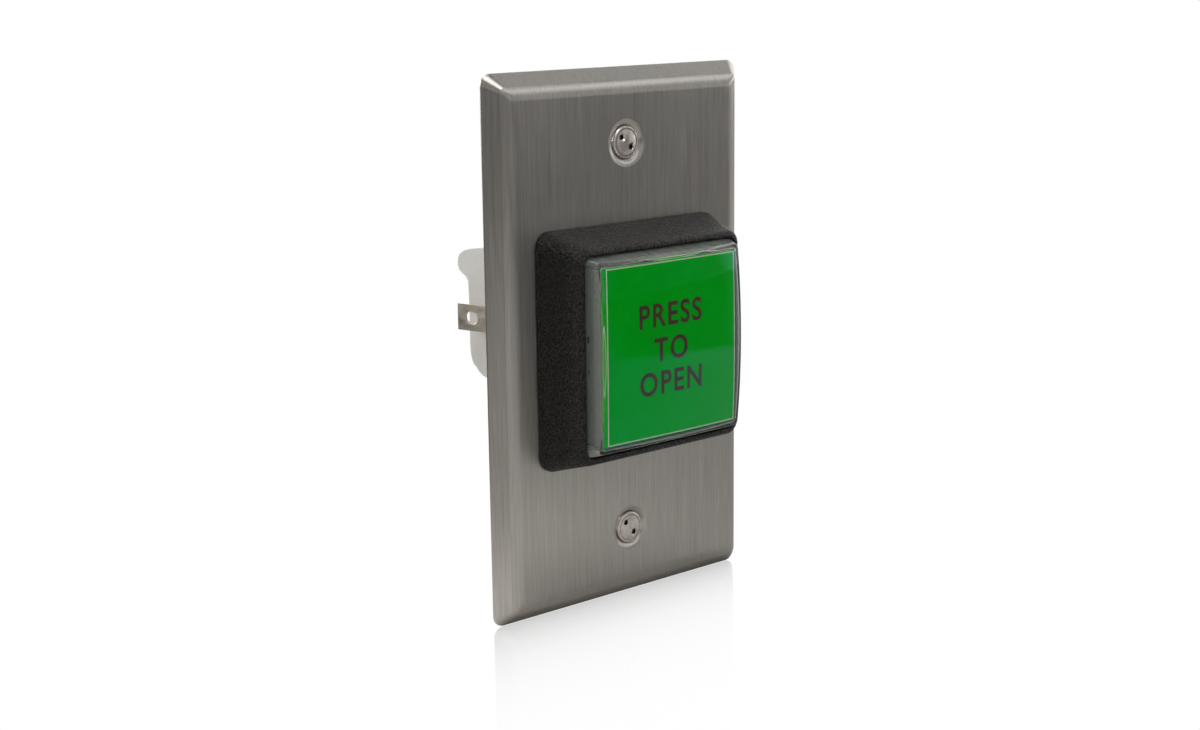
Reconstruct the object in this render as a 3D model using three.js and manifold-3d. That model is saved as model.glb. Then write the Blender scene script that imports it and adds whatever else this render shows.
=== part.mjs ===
// Request-to-open push button on a single-gang wall plate.
//
// Frame: millimetres, +Z up, front of the station faces -Y, +X to the right seen from the front.
// Origin: centre of the wall plate's rear face, on the wall plane (Y = 0). +Y runs into the wall box.
//
// The square button (lens, film, diffuser, carrier) slides 3 mm along +Y in the bezel's well. A finger on the
// carrier swings the switch lever, the lever presses the pin, and the pin swings the contact blade from the
// normally closed contact to the normally open one. The return spring pushes the button back.

import * as THREE from 'three';
import { mergeVertices } from 'three/addons/utils/BufferGeometryUtils.js';
import Module from 'manifold-3d';

// ---------------------------------------------------------------- driving dimensions (mm)
const PLATE_W = 69.85;            // single-gang plate, 2.75 in wide
const PLATE_H = 114.3;            // 4.5 in high
const PLATE_DEPTH = 4.0;          // wall plane to front face
const BEVEL = 3.4;                // width of the sloping rim seen from the front
const SHEET = 0.9;                // stainless sheet
const PLATE_CORNER_R = 2.5;
const SCREW_SPACING = 83.3;       // standard single-gang device centres, 3.281 in
const GAP = 0.3;                  // clearance between separate pieces

const BEZEL_BASE = 25.1;          // half side of the bezel where it meets the plate
const BEZEL_FRONT = 22.1;         // half side of its front rim
const BEZEL_HEIGHT = 10.5;
const WELL = 20.85;               // half side of the well that the lens runs in
const BARREL_R = 12.0;
const BARREL_END = 12.0;          // Y of the barrel's rear end

const LENS_BASE = 20.55;          // half side of the lens where it leaves the bezel
const LENS_TIP = 19.67;           // half side at its front corners
const LENS_SHOULDER_Y = -14.2;    // its sides taper from here to the front
const LENS_CORNER_Y = -17.07;     // Y of the front corners
const LENS_SKIRT_Y = -9.4;        // rear end of the skirt
const DOME_R = 128.7;             // radius of the domed front
const LENS_APEX_Y = -20.07;       // frontmost point
const LENS_WALL = 1.3;
const CEILING_R = 195;            // the lens is hollowed to a flatter dome, so that it thins towards its corners
const FILM_Y = -16.75;            // flat front of the film

const TUBE_R = 6.75, TUBE_BORE = 5.5;
const SPRING_R = 8.7, SPRING_WIRE = 0.4, SPRING_TURNS = 5.5;

const HOLDER_X = 11.5;            // half width of the white holder
const HOLDER_WALL = 1.4;
const PIVOT_X = 8.9, PIVOT_Y = 17.6;         // switch lever's hinge line (along Z)
const LEVER_REST = 19 * Math.PI / 180;       // lever's slant at rest
const BLADE_X = -7.0, BLADE_Y = 22.6;        // contact blade's hinge line (along Z)
const BLADE_REST = Math.atan2(1.1, 12.5);    // contact blade's slant at rest
const TERMINAL_END = 38.5;        // Y of the switch terminals' tips

// ---------------------------------------------------------------- solid helpers
const wasm = await Module();
wasm.setup();

// One closed, outward-facing, position-only geometry from any closed three.js geometry.
function closed(geometry) {
  let g = geometry.clone();
  for (const name of ['normal', 'uv', 'color', 'tangent']) if (g.attributes[name]) g.deleteAttribute(name);
  g = mergeVertices(g, 1e-4);
  const p = g.attributes.position.array, src = g.index.array, idx = [];
  for (let i = 0; i < src.length; i += 3) {
    const [a, b, c] = [src[i], src[i + 1], src[i + 2]];
    if (a !== b && b !== c && a !== c) idx.push(a, b, c);
  }
  let vol = 0;
  for (let i = 0; i < idx.length; i += 3) {
    const [a, b, c] = [idx[i] * 3, idx[i + 1] * 3, idx[i + 2] * 3];
    vol += p[a] * (p[b + 1] * p[c + 2] - p[b + 2] * p[c + 1])
         - p[a + 1] * (p[b] * p[c + 2] - p[b + 2] * p[c])
         + p[a + 2] * (p[b] * p[c + 1] - p[b + 1] * p[c]);
  }
  if (vol < 0) for (let i = 0; i < idx.length; i += 3) [idx[i + 1], idx[i + 2]] = [idx[i + 2], idx[i + 1]];
  const out = new THREE.BufferGeometry();
  out.setAttribute('position', new THREE.BufferAttribute(new Float32Array(p), 3));
  out.setIndex(idx);
  return out;
}
function solid(geometry) {
  const g = closed(geometry);
  return new wasm.Manifold(new wasm.Mesh({
    numProp: 3,
    vertProperties: new Float32Array(g.attributes.position.array),
    triVerts: new Uint32Array(g.index.array),
  }));
}
function geometryOf(manifold) {
  const m = manifold.getMesh();
  const g = new THREE.BufferGeometry();
  g.setAttribute('position', new THREE.BufferAttribute(new Float32Array(m.vertProperties), 3));
  g.setIndex(new THREE.BufferAttribute(new Uint32Array(m.triVerts), 1));
  g.computeVertexNormals();
  return g;
}
const join = (first, ...rest) => rest.reduce((a, b) => a.add(b), first);
const cut = (first, ...rest) => rest.reduce((a, b) => a.subtract(b), first);

const box = (x0, x1, y0, y1, z0, z1) => solid(
  new THREE.BoxGeometry(x1 - x0, y1 - y0, z1 - z0).translate((x0 + x1) / 2, (y0 + y1) / 2, (z0 + z1) / 2));

// Profile of [radius, y] pairs turned about the Y axis; it starts and ends on the axis, or closes on itself.
const turned = (profile, segments = 32, x = 0, z = 0) => solid(
  new THREE.LatheGeometry(profile.map(([r, y]) => new THREE.Vector2(r, y)), segments).translate(x, 0, z));
const rod = (r, y0, y1, segments = 32, x = 0, z = 0) => turned([[0, y0], [r, y0], [r, y1], [0, y1]], segments, x, z);
// The same, standing along Z at (x, y).
const post = (r, z0, z1, x, y, segments = 16) => solid(
  new THREE.CylinderGeometry(r, r, z1 - z0, segments).rotateX(Math.PI / 2).translate(x, y, (z0 + z1) / 2));

function shapeOf(points) {
  return new THREE.Shape(points.map(([a, b]) => new THREE.Vector2(a, b)));
}
// Outline of [y, z] points swept along X.
const sweptX = (points, x0, x1) => solid(new THREE.ExtrudeGeometry(shapeOf(points), { depth: x1 - x0, bevelEnabled: false })
  .applyMatrix4(new THREE.Matrix4().set(0, 0, 1, x0, 1, 0, 0, 0, 0, 1, 0, 0, 0, 0, 0, 1)));
// Outline of [x, y] points swept along Z.
const sweptZ = (points, z0, z1) => solid(
  new THREE.ExtrudeGeometry(shapeOf(points), { depth: z1 - z0, bevelEnabled: false }).translate(0, 0, z0));

// Rounded rectangle in the XZ plane, with n steps on each corner.
function roundedRect(hx, hz, r, n = 4) {
  const out = [];
  for (const [sx, sz, a0] of [[1, 1, 0], [-1, 1, 90], [-1, -1, 180], [1, -1, 270]]) {
    for (let i = 0; i <= n; i++) {
      const a = (a0 + 90 * i / n) * Math.PI / 180;
      out.push([sx * (hx - r) + r * Math.cos(a), sz * (hz - r) + r * Math.sin(a)]);
    }
  }
  return out;
}
// Skin over a stack of sections { y, ring } that all have the same number of points, with flat ends.
function lofted(sections) {
  const n = sections[0].ring.length, pos = [], idx = [];
  for (const { y, ring } of sections) for (const [x, z] of ring) pos.push(x, y, z);
  for (let s = 0; s + 1 < sections.length; s++) {
    for (let i = 0; i < n; i++) {
      const a = s * n + i, b = s * n + (i + 1) % n, c = a + n, d = b + n;
      idx.push(a, b, d, a, d, c);
    }
  }
  for (const [s, flip] of [[0, true], [sections.length - 1, false]]) {
    const centre = pos.length / 3;
    pos.push(0, sections[s].y, 0);
    for (let i = 0; i < n; i++) {
      const a = s * n + i, b = s * n + (i + 1) % n;
      idx.push(...(flip ? [centre, b, a] : [centre, a, b]));
    }
  }
  const g = new THREE.BufferGeometry();
  g.setAttribute('position', new THREE.Float32BufferAttribute(pos, 3));
  g.setIndex(idx);
  return solid(g);
}
const squareBlock = (half, r, y0, y1, n = 4) => lofted([
  { y: y0, ring: roundedRect(half, half, r, n) }, { y: y1, ring: roundedRect(half, half, r, n) }]);

// Plug with a domed front (towards -Y), its frontmost point at apexY.
function domePlug(apexY, backY, radius = DOME_R) {
  const reach = 30, steps = 7, profile = [[0, backY], [reach, backY]];
  for (let i = steps; i >= 0; i--) {
    const r = reach * i / steps;
    profile.push([r, apexY + radius - Math.sqrt(radius * radius - r * r)]);
  }
  return turned(profile, 40);
}

// ---------------------------------------------------------------- scene
const station = new THREE.Group();
const frameGroup = new THREE.Group();
const buttonGroup = new THREE.Group();
const holderGroup = new THREE.Group();
const switchGroup = new THREE.Group();
holderGroup.add(switchGroup);
station.add(frameGroup, buttonGroup, holderGroup);

function piece(group, name, manifold, color, roughness, metalness, extra = {}) {
  const mesh = new THREE.Mesh(geometryOf(manifold),
    new THREE.MeshStandardMaterial({ color, roughness, metalness, ...extra }));
  mesh.name = name;
  group.add(mesh);
  return mesh;
}

// ---------------------------------------------------------------- wall plate
// Outer skin: short vertical lip, sloping rim, small bend radius, flat front. Inner skin is one sheet behind it.
{
  const hw = PLATE_W / 2, hh = PLATE_H / 2, lip = 0.35, bend = 2.6;
  const run = BEVEL, rise = PLATE_DEPTH - lip, ang = Math.atan2(rise, run);
  const t = bend * Math.tan(ang / 2);
  const section = (inset, y, r) => ({ y, ring: roundedRect(hw - inset, hh - inset, r, 5) });
  const outer = [section(0, 0, PLATE_CORNER_R), section(0, -lip, PLATE_CORNER_R)];
  const cx = run + t, cy = -PLATE_DEPTH + bend;
  for (let i = 0; i <= 4; i++) {
    const a = ang * (1 - i / 4);
    const inset = cx - bend * Math.sin(a), y = cy - bend * Math.cos(a);
    outer.push(section(inset, y, Math.max(0.9, PLATE_CORNER_R - 0.45 * inset)));
  }
  const rimT = SHEET / Math.sin(ang), innerTop = run + SHEET * Math.tan(ang / 2);
  const inner = [section(rimT, 1, 1.5), section(rimT, 0, 1.5), section(innerTop - 0.55, -PLATE_DEPTH + SHEET + 0.75, 0.9),
    section(innerTop + 0.75, -PLATE_DEPTH + SHEET, 0.7)];
  let plate = cut(lofted(outer), lofted(inner));
  for (const s of [1, -1]) {
    const z = s * SCREW_SPACING / 2;
    plate = plate.add(turned([[0, -3.5], [5.6, -3.5], [5.6, -3.0], [4.7, -2.6], [3.1, -0.75], [0, -0.75]], 28, 0, z));
    plate = plate.subtract(turned([[0, -5], [4.95, -5], [4.95, -4.02], [4.5, -3.9], [4.0, -3.63], [3.72, -3.4], [2.2, -1.6],
      [2.2, 0.5], [0, 0.5]], 28, 0, z));
  }
  plate = cut(plate, rod(BARREL_R + GAP, -6, 2, 48), box(-1.9, 1.9, -6, 2, -13.5, -10));
  piece(frameGroup, 'wall_plate', plate, 0x86847f, 0.38, 0.95);
}

// ---------------------------------------------------------------- plate screws
// Oval countersunk head with two blind spanner holes, and a plain-ended machine thread.
for (const [name, s, turn] of [['plate_screw_upper', 1, -40], ['plate_screw_lower', -1, -48]]) {
  const z = s * SCREW_SPACING / 2;
  const profile = [[0, -4.2], [1.5, -4.12], [2.5, -3.94], [3.25, -3.68], [3.45, -3.53], [3.45, -3.4], [1.72, -1.4]];
  for (let y = -1.1; y < 8.2; y += 0.8) profile.push([1.72, y], [1.4, y + 0.4]);
  profile.push([1.72, 8.4], [1.3, 8.9], [0, 8.9]);
  let screw = turned(profile, 18, 0, z);
  const a = turn * Math.PI / 180;
  for (const side of [1, -1]) {
    screw = screw.subtract(rod(0.6, -6, -3.0, 12, side * 1.6 * Math.cos(a), z + side * 1.6 * Math.sin(a)));
  }
  piece(frameGroup, name, screw, 0xb9b3aa, 0.25, 1.0);
}

// ---------------------------------------------------------------- bezel
const FACE_Y = -PLATE_DEPTH;                       // plate's front face
const BEZEL_Y0 = FACE_Y - GAP;                     // bezel's rear face
const BEZEL_Y1 = BEZEL_Y0 - BEZEL_HEIGHT;          // bezel's front rim
const WELL_FLOOR = -6.0;
const SHELF_Y0 = 1.2, SHELF_Y1 = 3.4;              // spring shelf inside the barrel
{
  const at = (u) => BEZEL_BASE + (BEZEL_FRONT - BEZEL_BASE) * u;
  const ring = (half, r) => roundedRect(half, half, r, 5);
  const shell = lofted([
    { y: BEZEL_Y0, ring: ring(BEZEL_BASE - 0.35, 3.8) },
    { y: BEZEL_Y0 - 0.4, ring: ring(BEZEL_BASE, 4.0) },
    { y: BEZEL_Y0 - 0.88 * BEZEL_HEIGHT, ring: ring(at(0.88) + 0.1, 3.0) },
    { y: BEZEL_Y0 - 0.95 * BEZEL_HEIGHT, ring: ring(at(0.95) - 0.05, 2.8) },
    { y: BEZEL_Y1, ring: ring(BEZEL_FRONT - 0.45, 2.4) },
  ]);
  let bezel = join(shell, rod(BARREL_R, BEZEL_Y0 - 0.5, BARREL_END, 40));
  bezel = cut(bezel,
    squareBlock(WELL, 1.2, BEZEL_Y1 - 1, WELL_FLOOR),
    rod(10.0, WELL_FLOOR - 1, SHELF_Y0, 36),
    rod(7.3, SHELF_Y0 - 1, SHELF_Y1 + 1, 28),
    rod(9.8, SHELF_Y1, BARREL_END + 1, 36));
  bezel = join(bezel,
    box(-1.5, 1.5, BEZEL_Y0 - 0.5, -3.3, -13.1, -11.3),          // key in the plate's notch
    box(11.2, 13.1, 8.5, 10.5, -2.0, 2.0), box(-13.1, -11.2, 8.5, 10.5, -2.0, 2.0));   // bayonet lugs
  piece(frameGroup, 'button_bezel', bezel, 0x1d1b1a, 0.6, 0.0);
}

// ---------------------------------------------------------------- barrel nut
{
  const y0 = FACE_Y + SHEET + GAP;                 // just behind the sheet
  const hex = solid(new THREE.CylinderGeometry(16.6, 16.6, 5.1, 6).translate(0, y0 + 1.6 + 2.55, 0));
  const nut = cut(join(rod(17, y0, y0 + 1.7, 40), hex), rod(BARREL_R + 0.35, y0 - 1, y0 + 9, 40));
  piece(frameGroup, 'barrel_nut', nut, 0x222120, 0.55, 0.0);
}

// ---------------------------------------------------------------- sliding button
{
  const slope = (LENS_BASE - LENS_TIP) / (LENS_SHOULDER_Y - LENS_CORNER_Y);
  const tipHalf = LENS_TIP - slope * (LENS_CORNER_Y - (LENS_APEX_Y - 1));
  const outer = lofted([
    { y: LENS_SKIRT_Y, ring: roundedRect(LENS_BASE, LENS_BASE, 1.0, 3) },
    { y: LENS_SHOULDER_Y, ring: roundedRect(LENS_BASE, LENS_BASE, 1.0, 3) },
    { y: LENS_APEX_Y - 1, ring: roundedRect(tipHalf, tipHalf, 0.9, 3) },
  ]).intersect(domePlug(LENS_APEX_Y, LENS_SKIRT_Y + 1));
  const inside = squareBlock(18.95, 0.8, LENS_APEX_Y - 1, LENS_SKIRT_Y + 2, 3)
    .intersect(domePlug(LENS_APEX_Y + LENS_WALL, LENS_SKIRT_Y + 2, CEILING_R));
  let lens = outer.subtract(inside);
  // inward catches at top and bottom, which snap under the carrier
  for (const s of [1, -1]) lens = lens.add(box(-3, 3, -10.7, -9.7, ...(s > 0 ? [18.05, 19.5] : [-19.5, -18.05])));
  // two small prising nicks on the left side, at the bezel's rim
  lens = cut(lens, box(-21, -20.0, -15.3, -14.6, 3.4, 4.8), box(-21, -20.05, -15.2, -14.6, -3.1, -2.3));
  piece(buttonGroup, 'lens_cap', lens, 0xdfe6e2, 0.08, 0.0, { transparent: true, opacity: 0.35 });

  piece(buttonGroup, 'legend_film', squareBlock(18.5, 0.5, FILM_Y, FILM_Y + 0.3, 3), 0x00862c, 0.35, 0.0);

  const panelY = FILM_Y + 0.3 + GAP;
  const diffuser = cut(squareBlock(18.4, 0.6, panelY, -14.2, 3), squareBlock(17.2, 0.5, panelY + 1.0, -13, 3));
  piece(buttonGroup, 'diffuser_panel', diffuser, 0xdfe2dc, 0.5, 0.0);

  let carrier = cut(squareBlock(18.4, 0.8, -13.9, -11.0, 3), squareBlock(17.2, 0.6, -15, -12.4, 3));
  carrier = join(carrier, rod(TUBE_R, -12.0, 9.0, 28));
  carrier = cut(carrier, rod(TUBE_BORE, -14, 10, 28));
  carrier = join(carrier,
    box(6.2, 8.6, 3.7, 6.4, -2, 2), box(-8.6, -6.2, 3.7, 6.4, -2, 2),      // retaining barbs behind the shelf
    box(-1.0, 1.0, 3.7, 9.0, 6.2, 8.8), box(-1.0, 1.0, 8.5, 13.7, 6.95, 8.8));   // finger that swings the lever
  piece(buttonGroup, 'button_carrier', carrier, 0x8d918c, 0.45, 0.0);
}

// ---------------------------------------------------------------- return spring
{
  const y0 = -10.2, y1 = 0.4;
  class Coil extends THREE.Curve {
    getPoint(u, target = new THREE.Vector3()) {
      const a = 2 * Math.PI * SPRING_TURNS * u;
      return target.set(SPRING_R * Math.cos(a), y0 + (y1 - y0) * u, SPRING_R * Math.sin(a));
    }
  }
  const wire = [];
  for (let i = 0; i < 6; i++) wire.push([SPRING_WIRE * Math.cos(i * Math.PI / 3), SPRING_WIRE * Math.sin(i * Math.PI / 3)]);
  const coil = new THREE.ExtrudeGeometry(shapeOf(wire), { steps: 76, extrudePath: new Coil(), bevelEnabled: false });
  piece(frameGroup, 'return_spring', solid(coil), 0xb8b8b6, 0.3, 1.0);
}

// ---------------------------------------------------------------- white lamp and switch holder
const LEDGE_Z0 = 5.2, LEDGE_Z1 = 6.4;              // floor between the lamp chamber and the switch pocket
{
  const side = [                                    // side outline as [y, z]
    [12.6, -12.2], [31.2, -12.2], [32.4, -11.95], [33.5, -11.4], [34.3, -10.75], [34.75, -10.2], [35.3, -10.1], [35.85, -9.6],
    [36.35, -8.6], [36.7, -7.3], [36.85, -5.4], [36.8, 4.0], [37.0, 9.1], [37.8, 9.95], [39.2, 10.6], [40.1, 11.15],
    [40.6, 12.0], [40.73, 13.0], [40.5, 14.0], [39.9, 14.8], [38.9, 15.45], [37.6, 15.95], [35.7, 16.4], [33.0, 16.8], [30.0, 17.15], [27.0, 17.3],
    [12.6, 17.3]];
  const chamber = [[14.0, -10.8], [31.1, -10.8], [32.6, -10.3], [34.4, -8.7], [35.2, -7.0], [35.4, -5.2], [35.4, LEDGE_Z0], [14.0, LEDGE_Z0]];
  let holder = join(sweptX(side, -HOLDER_X, HOLDER_X), rod(15.2, 4.6, 13.2, 40));
  const inX = HOLDER_X - HOLDER_WALL;
  holder = cut(holder,
    rod(BARREL_R + 0.35, 4, 12.6, 40),                              // over the barrel
    sweptX(chamber, -inX, inX),                                     // lamp chamber
    box(-inX, inX, 14.0, 45, LEDGE_Z1, 20),                         // switch pocket, open above and behind
    rod(7.8, 12, 15, 32),                                           // way for the plunger's tube
    box(-5.4, 3.6, 12, 15, 4, 11.9),                                // way for the lever
    box(11, 13.55, 8.1, 12.6, -2.4, 2.4), box(-13.55, -11, 8.1, 12.6, -2.4, 2.4));  // bayonet pockets
  // cross wall that grips the lamp's base
  let wall = box(-inX - 0.2, inX + 0.2, 19.6, 21.2, -10.9, LEDGE_Z0 + 0.2);
  wall = wall.subtract(box(-4.9, 4.9, 19, 22, -2.7, 2.7));
  holder = holder.add(wall);
  for (const s of [1, -1]) {
    const [a, b] = s > 0 ? [inX - 1, HOLDER_X + 1] : [-HOLDER_X - 1, -inX + 1];
    holder = holder.subtract(box(a, b, 24.1, 25.7, -1.7, 4.9));     // slot for the lamp terminal
    holder = holder.subtract(post(1.3, LEDGE_Z0 - 1, LEDGE_Z1 + 1, s * 3.9, 26.2));
  }
  piece(holderGroup, 'lamp_switch_holder', holder, 0xb9b9b2, 0.5, 0.0);
}

// ---------------------------------------------------------------- LED lamp
piece(holderGroup, 'lamp_base', box(-4.6, 4.6, 15.1, 26.0, -2.4, 2.4), 0xe6e4dc, 0.5, 0.0);
piece(holderGroup, 'lamp_dome', turned([[0, 5.4], [1.7, 5.7], [3.1, 6.6], [4.0, 7.9], [4.3, 9.4], [4.3, 13.2], [4.9, 13.3],
  [4.9, 14.8], [0, 14.8]], 24), 0xf2efe4, 0.2, 0.0, { transparent: true, opacity: 0.7 });

// Lamp terminals: a contact leaf beside the lamp base, a run through the holder's side wall, and a blade
// splayed outwards with a slotted hole.
for (const [name, s] of [['lamp_terminal_left', -1], ['lamp_terminal_right', 1]]) {
  const t = 0.4;                                    // half thickness
  const dir = new THREE.Vector2(0.235, 0.972).normalize(), nrm = new THREE.Vector2(dir.y, -dir.x);
  const root = new THREE.Vector2(12.2, 24.9), tip = root.clone().addScaledVector(dir, 11.6);
  const along = (side, y) => root.x + nrm.x * side + dir.x * (y - root.y - nrm.y * side) / dir.y;   // x of a blade face at y
  const outline = [[4.9, 21.6], [5.7, 21.6], [5.7, 24.5], [along(t, 24.5), 24.5], [tip.x + nrm.x * t, tip.y + nrm.y * t],
    [tip.x - nrm.x * t, tip.y - nrm.y * t], [along(-t, 25.3), 25.3], [4.9, 25.3]];
  let strip = sweptZ(outline.map(([x, y]) => [s * x, y]), -1.4, 4.6);
  // slotted hole, long way along the blade
  const hole = join(
    solid(new THREE.CylinderGeometry(1.33, 1.33, 4, 16).rotateZ(Math.PI / 2).translate(0, 0.45, 0)),
    solid(new THREE.CylinderGeometry(1.33, 1.33, 4, 16).rotateZ(Math.PI / 2).translate(0, -0.45, 0)),
    box(-2, 2, -0.45, 0.45, -1.33, 1.33));
  const at = tip.clone().addScaledVector(dir, -3.9);
  const placed = geometryOf(hole).rotateZ(-Math.atan2(dir.x, dir.y) * s).translate(s * at.x, at.y, 1.6);
  strip = strip.subtract(solid(placed));
  piece(holderGroup, name, strip, 0xa89f86, 0.35, 0.9);
}

// ---------------------------------------------------------------- snap-action switch
const SW_X = 9.8, SW_Y0 = 18.85, SW_Y1 = 28.8, SW_Z0 = 6.7, SW_Z1 = 11.7;
{
  let body = box(-SW_X, SW_X, SW_Y0, SW_Y1, SW_Z0, SW_Z1);
  body = body.subtract(box(-8.8, 8.8, 19.6, 27.8, 7.7, 13));
  body = join(body,
    box(8.0, SW_X, 16.6, 19.1, SW_Z0, 7.6), box(8.0, SW_X, 16.6, 19.1, 10.8, SW_Z1),   // ears of the lever's hinge
    post(1.75, 7.2, SW_Z1, 3.9, 26.2), post(1.75, 7.2, SW_Z1, -3.9, 26.2));            // screw bosses
  body = cut(body,
    post(1.25, 6, 13, 3.9, 26.2), post(1.25, 6, 13, -3.9, 26.2),
    post(0.62, 6, 13, PIVOT_X, PIVOT_Y, 12),
    box(4.5, 6.5, 18, 20, 8.2, 10.6),                                                   // pin's slot
    box(-8.7, -5.5, 27, 30, 9.0, 13), box(-1.6, 1.6, 27, 30, 7.6, 13), box(5.5, 8.7, 27, 30, 9.0, 13));
  piece(switchGroup, 'switch_case', body, 0x2b2b2d, 0.5, 0.0);

  const cover = cut(box(-SW_X, SW_X, SW_Y0, SW_Y1, SW_Z1 + GAP, SW_Z1 + GAP + 0.9),
    post(1.25, 6, 15, 3.9, 26.2), post(1.25, 6, 15, -3.9, 26.2));
  piece(switchGroup, 'switch_cover', cover, 0x8f1d1a, 0.5, 0.0);
}
// switch screws: pan heads above the cover, shanks down into the holder's floor
for (const [name, x] of [['switch_screw_left', -3.9], ['switch_screw_right', 3.9]]) {
  const z0 = SW_Z1 + 2 * GAP + 0.9;
  let screw = join(post(0.95, 4.0, z0 + 0.5, x, 26.2, 14), post(1.9, z0, z0 + 1.2, x, 26.2, 18));
  screw = screw.subtract(box(x - 2.5, x + 2.5, 25.95, 26.45, z0 + 0.6, z0 + 2));
  piece(switchGroup, name, screw, 0xb0aea8, 0.3, 1.0);
}

// pin: tapered nose towards the lever
piece(switchGroup, 'switch_pin', join(
  sweptZ([[5.2, 17.04], [5.8, 17.04], [6.2, 17.7], [6.2, 21.0], [4.8, 21.0], [4.8, 17.7]], 8.5, 10.3)), 0xc23a2c, 0.4, 0.0);

// lever: rolled eye round the hinge pin and a flat strip, slanted towards the front at rest
{
  const eye = post(0.95, 7.9, 10.5, 0, 0, 20), bore = post(0.62, 7, 12, 0, 0, 12);
  const strip = box(-13.5, 0, -0.2, 0.2, 7.9, 10.5);
  const lever = cut(join(eye, strip), bore);
  const g = geometryOf(lever).rotateZ(LEVER_REST).translate(PIVOT_X, PIVOT_Y, 0);
  piece(switchGroup, 'switch_lever', solid(g), 0xb7b7b5, 0.3, 1.0);
}
piece(switchGroup, 'lever_pivot_pin', post(0.55, SW_Z0 + 0.1, SW_Z1 - 0.05, PIVOT_X, PIVOT_Y, 12), 0xa5a5a5, 0.3, 1.0);

// moving contact blade with a contact rivet near its free end
{
  const strip = join(box(0, 15.2, -0.15, 0.15, 8.75, 10.4),
    solid(new THREE.CylinderGeometry(0.8, 0.8, 1.1, 14).translate(14.4, 0, 9.5)));
  const g = geometryOf(strip).rotateZ(-BLADE_REST).translate(BLADE_X, BLADE_Y, 0);
  piece(switchGroup, 'contact_blade', solid(g), 0xc08a4a, 0.3, 1.0);
}

// fixed terminals, each with a blade through the case's rear wall
{
  const blade = (x, z0, z1) => cut(box(x - 1.15, x + 1.15, 23.6, TERMINAL_END, z0, z1),
    post(0.7, z0 - 1, z1 + 1, x, TERMINAL_END - 2.4, 14));
  // common: stands behind the blade's hinge end
  piece(switchGroup, 'common_terminal', join(blade(-7.1, 9.3, 9.8), box(-8.2, -6.0, 23.2, 23.8, 8.2, 10.9)), 0xc9a35a, 0.3, 1.0);
  // normally open: contact pad behind the moving contact
  piece(switchGroup, 'normally_open_terminal', join(blade(7.1, 9.3, 9.8), box(6.2, 8.4, 23.35, 23.85, 8.75, 10.9)), 0xc9a35a, 0.3, 1.0);
  // normally closed: contact pad in front of it, with a run under the blade to the middle exit
  const nc = join(
    cut(box(-1.15, 1.15, 25.4, TERMINAL_END, 9.3, 9.8), post(0.7, 8, 11, 0, TERMINAL_END - 2.4, 14)),
    box(-1.15, 1.15, 25.4, 25.9, 8.0, 9.8),
    box(-1.15, 1.15, 23.4, 25.9, 8.0, 8.4),
    box(-1.15, 8.4, 23.4, 24.1, 8.0, 8.4),
    box(7.0, 8.4, 20.0, 24.1, 8.0, 8.4),
    box(6.6, 8.4, 20.0, 20.4, 8.0, 10.9));
  piece(switchGroup, 'normally_closed_terminal', nc, 0xc9a35a, 0.3, 1.0);
}

export default station;
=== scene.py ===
import bpy, bmesh, math
from mathutils import Vector, Matrix

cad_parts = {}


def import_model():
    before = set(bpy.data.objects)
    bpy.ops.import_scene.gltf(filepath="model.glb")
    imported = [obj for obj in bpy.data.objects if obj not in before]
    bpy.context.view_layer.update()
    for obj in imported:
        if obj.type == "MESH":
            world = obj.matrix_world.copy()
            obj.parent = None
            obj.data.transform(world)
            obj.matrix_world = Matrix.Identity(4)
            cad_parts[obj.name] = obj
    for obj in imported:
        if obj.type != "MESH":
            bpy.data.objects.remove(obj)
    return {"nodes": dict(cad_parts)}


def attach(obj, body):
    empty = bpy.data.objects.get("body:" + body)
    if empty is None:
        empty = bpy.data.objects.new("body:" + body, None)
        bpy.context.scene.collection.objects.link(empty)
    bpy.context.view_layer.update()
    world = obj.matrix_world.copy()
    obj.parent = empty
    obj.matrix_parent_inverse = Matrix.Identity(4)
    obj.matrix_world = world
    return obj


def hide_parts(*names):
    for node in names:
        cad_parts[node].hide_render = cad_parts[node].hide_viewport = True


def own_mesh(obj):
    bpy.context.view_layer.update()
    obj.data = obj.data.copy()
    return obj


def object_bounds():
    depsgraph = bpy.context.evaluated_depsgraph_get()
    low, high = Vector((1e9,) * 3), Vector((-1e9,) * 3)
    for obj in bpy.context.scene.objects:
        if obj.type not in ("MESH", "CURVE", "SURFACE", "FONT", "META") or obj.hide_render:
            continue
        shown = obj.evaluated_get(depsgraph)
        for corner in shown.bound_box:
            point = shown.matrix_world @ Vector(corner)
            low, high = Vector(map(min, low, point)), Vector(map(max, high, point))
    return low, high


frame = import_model()
cad_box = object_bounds()
NODES = frame["nodes"]
scene = bpy.context.scene
MM = 0.001

# ------------------------------------------------------------------ camera: from the front left, a little above
az, el, roll = math.radians(-40.634), math.radians(11.988), -0.013
d = Vector((math.sin(az) * math.cos(el), -math.cos(az) * math.cos(el), math.sin(el)))
fwd = -d
r0 = fwd.cross(Vector((0, 0, 1))).normalized()
u0 = r0.cross(fwd)
right = r0 * math.cos(roll) + u0 * math.sin(roll)
up = u0 * math.cos(roll) - r0 * math.sin(roll)
cam_data = bpy.data.cameras.new("cam")
cam_data.sensor_width = 36.0
cam_data.sensor_fit = "HORIZONTAL"
cam_data.lens = 56.37
cam_data.clip_start = 0.01
cam_data.clip_end = 50
cam = bpy.data.objects.new("cam", cam_data)
scene.collection.objects.link(cam)
rot = Matrix((right, up, -fwd)).transposed()
cam.matrix_world = Matrix.Translation(Vector((-0.259553, -0.297027, 0.077507))) @ rot.to_4x4()
scene.camera = cam
scene.view_settings.view_transform = "Standard"


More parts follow.
